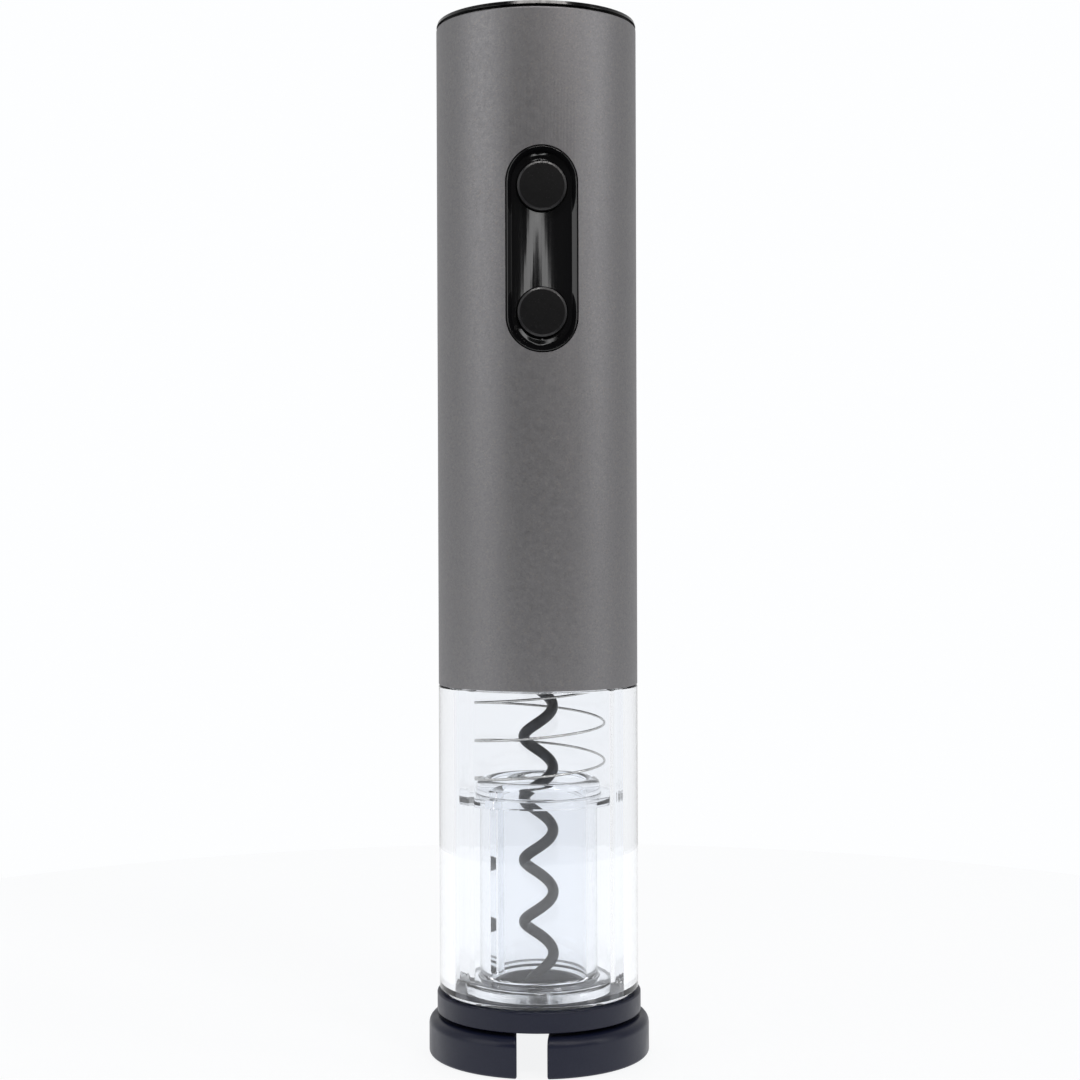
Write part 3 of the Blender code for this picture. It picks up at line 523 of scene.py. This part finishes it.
def make_bezel(material):
    """A glossy panel that follows the body at its rim and is scooped out inside."""
    rim, slope, floor, crown = 0.3, 0.97, 21.78, 0.35
    rim_steps, slope_steps, floor_steps = 5, 12, 10
    hole_gap, hole_back, hole_front = 0.35, 18.0, 26.0
    half = PANEL_WIDTH / 2
    floor_half = half - rim - slope

    def body(x):
        return math.sqrt(PANEL_FRONT ** 2 - x * x)

    def scoop(x):
        return floor + crown * (x / half) ** 2

    def surface(x, inset):
        """The panel's y at this inset: on its rolled edge, its flat bevel or its scooped floor."""
        if inset < rim:
            roll = rim - math.sqrt(rim ** 2 - (rim - inset) ** 2)
            return -(body(x) - roll)
        if inset > rim + slope:
            return -scoop(x)
        across = x / (half - inset)
        start, end = body(across * (half - rim)), scoop(across * floor_half)
        return -(start + (end - start) * (inset - rim) / slope)

    insets = [rim * (1 - math.cos(math.pi / 2 * k / rim_steps)) for k in range(rim_steps + 1)]
    insets += [rim + slope * k / slope_steps for k in range(1, slope_steps + 1)]
    insets += [rim + slope + floor_half * k / floor_steps for k in range(1, floor_steps)]
    insets.append(half - 0.01)
    loops = [[(x, -PANEL_BACK, z) for x, z in stadium(PANEL_WIDTH, PANEL_HEIGHT, PANEL_Z)]]
    for inset in insets:
        outline = stadium(PANEL_WIDTH, PANEL_HEIGHT, PANEL_Z, inset)
        loops.append([(x, surface(x, inset), z) for x, z in outline])
    bezel = loft("bezel_panel", loops, sharp=60.0)
    radius = BUTTON_RADIUS + hole_gap
    hole = [(0, hole_back), (radius, hole_back), (radius, hole_front), (0, hole_front)]
    for node in BUTTONS:
        carve(bezel, face_front(turned("hole", hole, BUTTON_STEPS), node))
    soften(bezel, 0.14, 3, 50.0)
    even_normals(bezel)
    place(bezel, "housing", "switch_bezel", material)


def face_front(item, node):
    """Turns a piece made round Z so that it points to the front, on the axis of a CAD node."""
    turn = Matrix.Rotation(math.pi / 2, 4, "X")
    lift = Matrix.Translation((0, 0, middle(node).z * MM))
    item.data.transform(lift @ turn)
    return item


def make_buttons(material, rim_with_painted_highlight):
    """Slightly crowned caps on a flange and a post, with a glossier chamfer whose lighter base
    colour is a painted highlight.
    """
    radius, front = BUTTON_RADIUS, BUTTON_FRONT
    post, post_back = 1.5, 19.6
    flange, flange_back = 6.5, 19.9
    crown, chamfer, crown_steps = 0.12, 0.2, 5
    crowned = radius - 1.5
    rim = front - crown - chamfer
    outline = [
        (0, post_back), (post, post_back), (post, flange_back), (flange, flange_back),
        (flange, BUTTON_BACK), (radius, BUTTON_BACK),
    ]
    outline += fillet([
        (radius, 22.0), (radius, rim, 0.08), (radius - 0.5, rim + chamfer, 0.1),
        (crowned, rim + 0.23),
    ], 4, False)
    for k in range(1, crown_steps + 1):
        share = k / crown_steps
        outline.append((crowned * (1 - share), front - crown * (1 - share) ** 2 * 0.75))
    for node in BUTTONS:
        button = face_front(turned(f"{node}_cap", outline, BUTTON_STEPS), node)
        even_normals(button)
        place(button, node, node, material)
        # The chamfer takes a glossier black whose lighter base colour is a painted highlight.
        button.data.materials.append(rim_with_painted_highlight)
        centre = middle(node).z * MM
        for face in button.data.polygons:
            away = math.hypot(face.center.x, face.center.z - centre) / MM
            on_chamfer = radius - 0.6 < away < radius + 0.05
            if on_chamfer and face.center.y < -(rim - 0.1) * MM:
                face.material_index = 1


def make_cap(material):
    """A thin lid on a neck, with a skirt that goes down into the sleeve."""
    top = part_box("battery_cap")[1].z / MM
    neck_low, skirt_low = SLEEVE_HIGH + 0.3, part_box("battery_cap")[0].z / MM
    ceiling = 245.2
    radius, neck, skirt_inner = 23.95, 23.2, 20.8
    underside = fillet([
        (radius, top - 0.9, 0.05), (neck, top - 0.9), (neck, neck_low), (INSERT_RADIUS, neck_low),
        (INSERT_RADIUS, skirt_low, 0.2), (skirt_inner, skirt_low, 0.2),
        (skirt_inner, ceiling), (12.0, ceiling),
    ], 4, False)
    rim = fillet([
        (radius, top - 0.85), (radius, top - 0.82), (23.7, top - 0.06, 0.06), (20.0, top),
    ], 6, False)
    lid = [(0, ceiling)] + underside[::-1] + rim + [(16.0, top), (8.0, top), (0, top)]
    cap = turned("cap_lid", lid, FINE_STEPS)
    even_normals(cap)
    place(cap, "battery_cap", "battery_cap", material)


def bore_angles(radius, ribs, half, draft, steps):
    """Angles round a bore, with extra ones where the flanks of its ribs begin and end."""
    foot = half + draft
    flanks = (-foot - 0.3, -foot, -half, -half * 0.4, half * 0.4, half, foot, foot + 0.3)
    plain = [2 * math.pi * i / steps for i in range(steps)]
    clear_of = (foot + 0.35) / radius
    angles = [a for a in plain if all(abs(a - c) > clear_of for c in ribs)]
    return sorted(angles + [c + flank / radius for c in ribs for flank in flanks])


def ribbed_bore(angles, radius, ribs, half, draft, depth, z):
    """One loop of a bore whose ribs stand inwards by depth."""
    points = []
    for angle in angles:
        away = min(abs(angle - c) for c in ribs) * radius
        reach = radius - depth * min(1.0, max(0.0, (half + draft - away) / draft))
        points.append((reach * math.cos(angle), reach * math.sin(angle), z))
    return points


def ring_at(angles, radius, z):
    """A plain loop with its points at the given angles."""
    return [(radius * math.cos(a), radius * math.sin(a), z) for a in angles]


def make_barrel(material):
    """Clear tube with four ribs inside it and a neck that goes up into the sleeve."""
    outer, inner = BODY_RADIUS, BARREL_INNER
    shoulder = SLEEVE_LOW - 0.3
    rib_low = 19.0
    rib_depth, rib_half, draft = 0.2, 0.9, 1.4
    rib_angles = [math.radians(a) for a in (37, 143, 217, 323)]
    chamfer = 0.8
    angles = bore_angles(inner, rib_angles, rib_half, draft, 216)

    outside = fillet([
        (inner + 0.3, BARREL_LOW), (outer - chamfer, BARREL_LOW, 0.1),
        (outer, BARREL_LOW + chamfer, 0.2), (outer, shoulder, 0.25), (INSERT_RADIUS, shoulder, 0.3),
        (INSERT_RADIUS, BARREL_TOP, 0.3), (inner, BARREL_TOP, 0.3), (inner, shoulder),
    ], 4, False)
    bore = [
        (shoulder - 0.2, 0.0), (shoulder - 0.5, rib_depth), (rib_low + 0.6, rib_depth),
        (rib_low, 0.0), (BARREL_LOW + 0.3, 0.0),
    ]
    loops = [ring_at(angles, r, z) for r, z in outside]
    loops += [ribbed_bore(angles, inner, rib_angles, rib_half, draft, d, z) for z, d in bore]
    barrel = loft("barrel_tube", loops, ring=True)
    even_normals(barrel)
    place(barrel, "housing", "clear_barrel", material)


def make_guide(material):
    """The cork guide: a thick clear sleeve with a foot ring, a thin flange and a rounded lip."""
    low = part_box("guide_sleeve")[0].z / MM
    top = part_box("guide_sleeve")[1].z / MM
    bore, tube, lip = 11.6, 14.2, 15.0
    foot, foot_inner = 17.5, 16.4
    flange, flange_low, flange_high = 18.65, 60.7, 62.7
    rib_depth, rib_half, draft = 1.6, 0.8, 0.5
    rib_angles = [math.radians(212.9)]
    angles = bore_angles(bore, rib_angles, rib_half, draft, 180)

    outside = fillet([
        (bore, low + 3.9), (foot_inner, low, 0.1), (foot, low, 0.25), (foot, low + 3.1, 0.5),
        (tube, low + 3.5, 0.8), (tube, flange_low, 0.15), (flange, flange_low, 0.12),
        (flange, flange_high, 0.12), (lip, flange_high, 0.2), (lip, top, 1.8),
        (bore, top, 1.2), (bore, top - 1.9),
    ], 5, False)
    inside = [
        (top - 2.4, 0.0), (top - 2.8, rib_depth), (low + 5.4, rib_depth), (low + 5.0, 0.0),
        (low + 4.5, 0.0),
    ]
    loops = [ring_at(angles, r, z) for r, z in outside]
    loops += [ribbed_bore(angles, bore, rib_angles, rib_half, draft, d, z) for z, d in inside]
    guide = loft("guide_tube", loops, ring=True)
    even_normals(guide)
    place(guide, "guide", "guide_sleeve", material)


def make_spring(material):
    """The guide's return spring, a plain helix."""
    radius, wire, pitch = 16.0, 0.29, 9.15
    low, high = (corner.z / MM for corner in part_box("guide_spring"))
    left_turn = 75.1  # the height where the wire passes the left side, as the camera sees it
    start = math.pi + 2 * math.pi * (low + wire - left_turn) / pitch - math.radians(VIEW_DEGREES)
    turns = (high - low - 2 * wire) / pitch
    per_turn = 56
    count = round(turns * per_turn)
    path = []
    for i in range(count + 1):
        share = i / count
        angle = start + 2 * math.pi * turns * share
        z = low + wire + (high - low - 2 * wire) * share
        path.append((radius * math.cos(angle), radius * math.sin(angle), z))
    spring = sweep("return_spring", path, [wire] * len(path), 12)
    place(spring, "housing", "guide_spring", material)
    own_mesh(spring)


def make_worm(material):
    """A right-handed helix that thins to a point, and straightens into its shank at the top."""
    radius, wire, pitch = 3.5, 1.33, 14.88
    tip, helix_top, shank = 16.9, 86.5, 92.0
    taper_length, point = 5.0, 0.04
    right_turn = 24.05  # the height where the worm is furthest to the right
    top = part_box("worm_screw")[1].z / MM
    per_turn = 72
    count = round(per_turn * (shank - tip) / pitch)
    path, radii = [], []
    for i in range(count + 1):
        z = tip + (shank - tip) * i / count
        angle = 2 * math.pi * (z - right_turn) / pitch
        settle = min(1.0, max(0.0, (shank - z) / (shank - helix_top)))
        reach = radius * settle * settle * (3 - 2 * settle)
        path.append((reach * math.cos(angle), reach * math.sin(angle), z))
        taper = min(1.0, (z - tip) / taper_length)
        radii.append(wire * (point + (1 - point) * taper ** 0.7))
    shank_steps = 6
    for k in range(1, shank_steps + 1):
        path.append((0, 0, shank + (top - shank) * k / shank_steps))
        radii.append(wire)
    worm = sweep("worm_bar", path, radii, 28)
    place(worm, "worm", "worm_screw", material)


def turned_cutter(item):
    """Turns a foil cutter piece from its own frame, in which the jaws' seam is at the back."""
    item.data.transform(Matrix.Rotation(CUTTER_TURN, 4, "Z"))
    return item


def make_collar(material):
    """The foil cutter's top: a disc with a low ring on it that goes up into the guide."""
    low, top = (corner.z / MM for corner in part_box("cutter_collar"))
    rim, ceiling = 14.9, 12.9
    outer, recess = 24.6, 17.6
    ring_outer, ring_inner = 11.2, 9.7
    outline = [(0, ceiling)] + fillet([
        (recess, ceiling), (recess, low + 0.2), (outer - 0.9, low + 0.2), (outer - 0.5, low + 0.4),
        (outer, low + 0.4, 0.25), (outer, rim, 0.4), (16.0, rim), (ring_outer, rim),
        (ring_outer, top, 0.3), (ring_inner, top, 0.3), (ring_inner, rim), (8.0, rim),
    ], 4, False) + [(0, rim)]
    collar = turned("collar_ring", outline, FINE_STEPS)
    hole_low, hole_high = low - 1, 13.4
    hole = [(0, hole_low), (PIVOT_HOLE, hole_low), (PIVOT_HOLE, hole_high), (0, hole_high)]
    carve(collar, turned("hole", hole, 32, (0, PIVOT_Y)))
    even_normals(collar)
    place(turned_cutter(collar), "foil_cutter", "cutter_collar", material)


def make_jaw(node, side, wheels, material):
    """Half of the ring, with rolled edges at its ends: side is -1 for the left jaw.

    Its front end is square to the slot. The left jaw's is relieved, so that the slot is wider at
    the bore. The two jaws' lugs lie one over the other on the pivot.
    """
    bore, outer, top = 16.8, 26.58, 9.2
    slot, seam = 3.5, 0.5  # half of the slot in front and of the gap behind
    relief = 0.8 if side < 0 else 0.0
    below, above = -1.0, 11.0  # heights clear of the jaw
    section = fillet([
        (bore, 0.0, 0.4), (outer, 0.0, 0.7), (outer, top, 2.2), (bore, top, 0.6),
    ], 6)
    middle_r = (bore + outer) / 2
    middle_z = top / 2

    def shrunk(depth):
        """The section drawn in by depth on all sides."""
        across = 1 - 2 * depth / (outer - bore)
        up = 1 - 2 * depth / top
        return [
            (middle_r + (r - middle_r) * across, middle_z + (z - middle_z) * up) for r, z in section
        ]

    def flare(r):
        """How much wider the slot is at this radius than at the rim."""
        return relief * (outer - r) / (outer - bore)

    def end(depth, gap, front):
        """A loop across the ring, at the slot in front or at the seam behind."""
        loop = []
        for r, z in shrunk(depth):
            x = gap + (flare(r) if front else 0.0)
            y = math.sqrt(r * r - x * x)
            loop.append((side * x, -y if front else y, z))
        return loop

    roll = 0.45
    turns = [math.pi / 2 * k / 4 for k in range(5)]
    loops = [end(roll * (1 - math.sin(a)), slot + roll * (1 - math.cos(a)), True) for a in turns]
    steps = 72
    for k in range(steps + 1):
        loop = []
        for r, z in section:
            first = -math.pi / 2 + math.asin((slot + roll + flare(r)) / r)
            last = math.pi / 2 - math.asin((seam + roll) / r)
            angle = first + (last - first) * k / steps
            loop.append((side * r * math.cos(angle), r * math.sin(angle), z))
        loops.append(loop)
    for a in turns[1:]:
        loops.append(end(roll * (1 - math.cos(a)), seam + roll * (1 - math.sin(a)), False))
    jaw = loft(f"{node}_ring", loops)
    lug_low, lug_high = (3.4, 6.4) if side < 0 else (0.4, 3.1)
    gap_low, gap_high = (-1.0, 3.2) if side < 0 else (3.0, 12.0)
    carve(jaw, pivot_round("clear", 4.5, gap_low, gap_high))
    carve(jaw, pivot_round("lug", 4.1, lug_low, lug_high), "UNION")
    # The jaw spring's pocket, the pivot's hole and counterbore, and a room for each cutting wheel
    pocket = [(-7.0, 18.2), (7.0, 18.2), (7.0, 25.0), (-7.0, 25.0)]
    carve(jaw, loft("pocket", [[(x, y, z) for x, y in pocket] for z in (6.2, above)]))
    carve(jaw, pivot_round("hole", PIVOT_HOLE, below, above))
    carve(jaw, pivot_round("counterbore", 2.9, below, 1.3))
    room = [(0, -2.6), (1.05, -2.6), (1.05, -1.0), (5.3, -1.0)]
    room += [(r, -z) for r, z in reversed(room)]
    for wheel in wheels:
        spot = Matrix.Rotation(-CUTTER_TURN, 3, "Z") @ middle(wheel)
        carve(jaw, turned("room", [(r, z + spot.z) for r, z in room], 48, (spot.x, spot.y)))
    smooth(jaw, 30.0)
    even_normals(jaw)
    place(turned_cutter(jaw), node, node, material)


def pivot_round(name, radius, low, high):
    """A round tool or lug on the jaws' pivot."""
    outline = [(0, low), (radius, low), (radius, high), (0, high)]
    return turned(name, outline, 56, (0, PIVOT_Y))


def make_wheels(material):
    """Cutting wheels: hollow-ground discs with a keen rim and stub axles."""
    axle = [(0, -2.2), (0.6, -2.2), (0.75, -2.05), (0.75, -0.7)]
    disc = [(2.2, -0.7), (2.5, -0.55), (3.6, -0.26), (4.8, -0.03)]
    profile = axle + disc
    profile += [(r, -z) for r, z in reversed(profile)]
    for number in (1, 2, 3, 4):
        node = f"cutting_wheel_{number}"
        spot = middle(node)
        outline = [(r, z + spot.z) for r, z in profile]
        wheel = turned(f"{node}_disc", outline, 64, (spot.x, spot.y), 20.0)
        place(wheel, node, node, material)


# ---------------------------------------------------------------- studio


def softbox(name, angle, distance, height, size, power, colour=(1.0, 1.0, 1.0), lean=0.0):
    """An area light aimed at the body.

    Its angle in degrees is measured from the camera's side, positive to the right. It leans about
    its own axis.
    """
    data = bpy.data.lights.new(name, "AREA")
    data.shape = "RECTANGLE"
    data.size, data.size_y = size
    data.energy = power
    data.color = colour
    lamp = bpy.data.objects.new(name, data)
    bpy.context.collection.objects.link(lamp)
    turn = math.radians(angle - VIEW_DEGREES)
    lamp.location = (distance * math.sin(turn), -distance * math.cos(turn), height)
    aim = Vector((0.0, 0.0, 0.14)) - lamp.location
    facing = aim.to_track_quat("-Z", "Y").to_matrix().to_4x4()
    lamp.rotation_euler = (facing @ Matrix.Rotation(math.radians(lean), 4, "Z")).to_euler()


def make_lamps():
    """Softboxes at both sides and above. The two leaning strips mirror as a wedge in the panel."""
    strip = {"distance": 0.725, "height": 0.27, "size": (0.021, 0.092), "power": 0.022}
    softbox("left_softbox", -62.0, 1.0, 0.52, (0.72, 0.9), 2.9)
    softbox("right_softbox", 71.5, 1.0, 0.5, (0.26, 0.9), 2.0)
    softbox("warm_light", 38.0, 1.2, 0.95, (0.3, 0.25), 2.6, (1.0, 0.96, 0.94))
    softbox("strip_left", 5.5, lean=-22.0, **strip)
    softbox("strip_right", 9.3, lean=22.0, **strip)
    softbox("top_light", 6.0, 0.55, 0.95, (0.8, 0.12), 3.0, (1.0, 0.97, 0.95))


def make_floor():
    """A plain pale disc, lit from within like an acrylic table. It hardly takes a shadow."""
    loops = [circle(radius, 0.0, 96) for radius in (50.0, 100.0, 200.0, 300.0)]
    mesh = bpy.data.meshes.new("floor")
    made = bmesh.new()
    rows = [[made.verts.new(Vector(p) * MM) for p in loop] for loop in loops]
    made.faces.new(rows[0])
    for inner, outer in zip(rows, rows[1:]):
        for i in range(len(inner)):
            j = (i + 1) % len(inner)
            made.faces.new((inner[i], outer[i], outer[j], inner[j]))
    made.to_mesh(mesh)
    made.free()
    floor = bpy.data.objects.new("floor", mesh)
    bpy.context.collection.objects.link(floor)
    floor.location.z = -0.0002
    paper = bpy.data.materials.new("floor_paper")
    paper.use_nodes = True
    shader = paper.node_tree.nodes["Principled BSDF"]
    shader.inputs["Base Color"].default_value = (0.1, 0.1, 0.1, 1.0)
    shader.inputs["Roughness"].default_value = 0.8
    shader.inputs["Emission Color"].default_value = (*WHITE, 1.0)
    shader.inputs["Emission Strength"].default_value = 0.89
    mesh.materials.append(paper)


def make_world():
    """White behind the object and in its clear parts, and a dimmer room in what it mirrors."""
    world = bpy.data.worlds.new("studio")
    bpy.context.scene.world = world
    world.use_nodes = True
    tree = world.node_tree
    room = tree.nodes["Background"]
    white = tree.nodes.new("ShaderNodeBackground")
    white.inputs["Color"].default_value = (*WHITE, 1.0)
    white.inputs["Strength"].default_value = 1.0
    direction = tree.nodes.new("ShaderNodeTexCoord")
    split = tree.nodes.new("ShaderNodeSeparateXYZ")
    tree.links.new(direction.outputs["Generated"], split.inputs["Vector"])
    depth = tree.nodes.new("ShaderNodeMapRange")
    depth.interpolation_type = "SMOOTHSTEP"
    set_range(depth, -0.5, 0.9, FRONT_ROOM, BACK_ROOM)
    tree.links.new(split.outputs["Y"], depth.inputs["Value"])
    tree.links.new(depth.outputs["Result"], room.inputs["Strength"])
    room.inputs["Color"].default_value = (1.0, 1.0, 1.0, 1.0)
    path = tree.nodes.new("ShaderNodeLightPath")
    inside = tree.nodes.new("ShaderNodeMath")
    inside.operation = "SUBTRACT"
    inside.use_clamp = True
    tree.links.new(path.outputs["Transmission Depth"], inside.inputs[0])
    tree.links.new(path.outputs["Diffuse Depth"], inside.inputs[1])
    seen = tree.nodes.new("ShaderNodeMath")
    seen.operation = "MAXIMUM"
    tree.links.new(path.outputs["Is Camera Ray"], seen.inputs[0])
    tree.links.new(inside.outputs["Value"], seen.inputs[1])
    mix = tree.nodes.new("ShaderNodeMixShader")
    tree.links.new(seen.outputs["Value"], mix.inputs["Fac"])
    tree.links.new(room.outputs["Background"], mix.inputs[1])
    tree.links.new(white.outputs["Background"], mix.inputs[2])
    tree.links.new(mix.outputs["Shader"], tree.nodes["World Output"].inputs["Surface"])


def make_camera():
    """A camera level with the middle of the body, slightly round to the panel's left."""
    distance, height = 0.4724, 0.1287
    side = math.radians(-VIEW_DEGREES)
    pitch, yaw, roll = math.radians(-0.636), math.radians(0.07), math.radians(-0.19)
    data = bpy.data.cameras.new("camera")
    data.sensor_width = 36.0
    data.lens = 65.1
    data.clip_start = 0.01
    data.clip_end = 20.0
    camera = bpy.data.objects.new("camera", data)
    bpy.context.collection.objects.link(camera)
    camera.location = (distance * math.sin(side), -distance * math.cos(side), height)
    aim = Matrix.Rotation(side - yaw, 4, "Z") @ Matrix.Rotation(math.pi / 2 + pitch, 4, "X")
    aim = aim @ Matrix.Rotation(roll, 4, "Z")
    camera.rotation_euler = aim.to_euler()
    bpy.context.scene.camera = camera


def main():
    """Gives every CAD node its material, remakes the visible pieces and sets up the studio."""
    slots = slot_materials()
    for node, item in frame["nodes"].items():
        for material_slot in item.material_slots:
            material_slot.material = slots[SLOTS[node]]
    make_sleeve(slots["sleeve_metal"])
    make_bezel(gloss_black("panel_gloss"))
    # The button rim is glossier than the caps, and its lighter base colour is a painted highlight
    # along the chamfer.
    make_buttons(slots["black_matte"], gloss_black("button_rim_painted_highlight", 0.26, (0.022, 0.022, 0.024)))
    make_cap(slots["black_gloss"])
    make_barrel(slots["clear_plastic"])
    make_guide(slots["clear_plastic"])
    make_spring(slots["steel"])
    make_worm(slots["worm_coating"])
    make_collar(slots["cutter_plastic"])
    make_jaw("jaw_left", -1, ("cutting_wheel_1", "cutting_wheel_2"), slots["cutter_plastic"])
    make_jaw("jaw_right", 1, ("cutting_wheel_3", "cutting_wheel_4"), slots["cutter_plastic"])
    make_wheels(slots["steel"])
    make_floor()
    make_world()
    make_lamps()
    make_camera()
    bpy.context.scene.view_settings.view_transform = "Standard"


main()
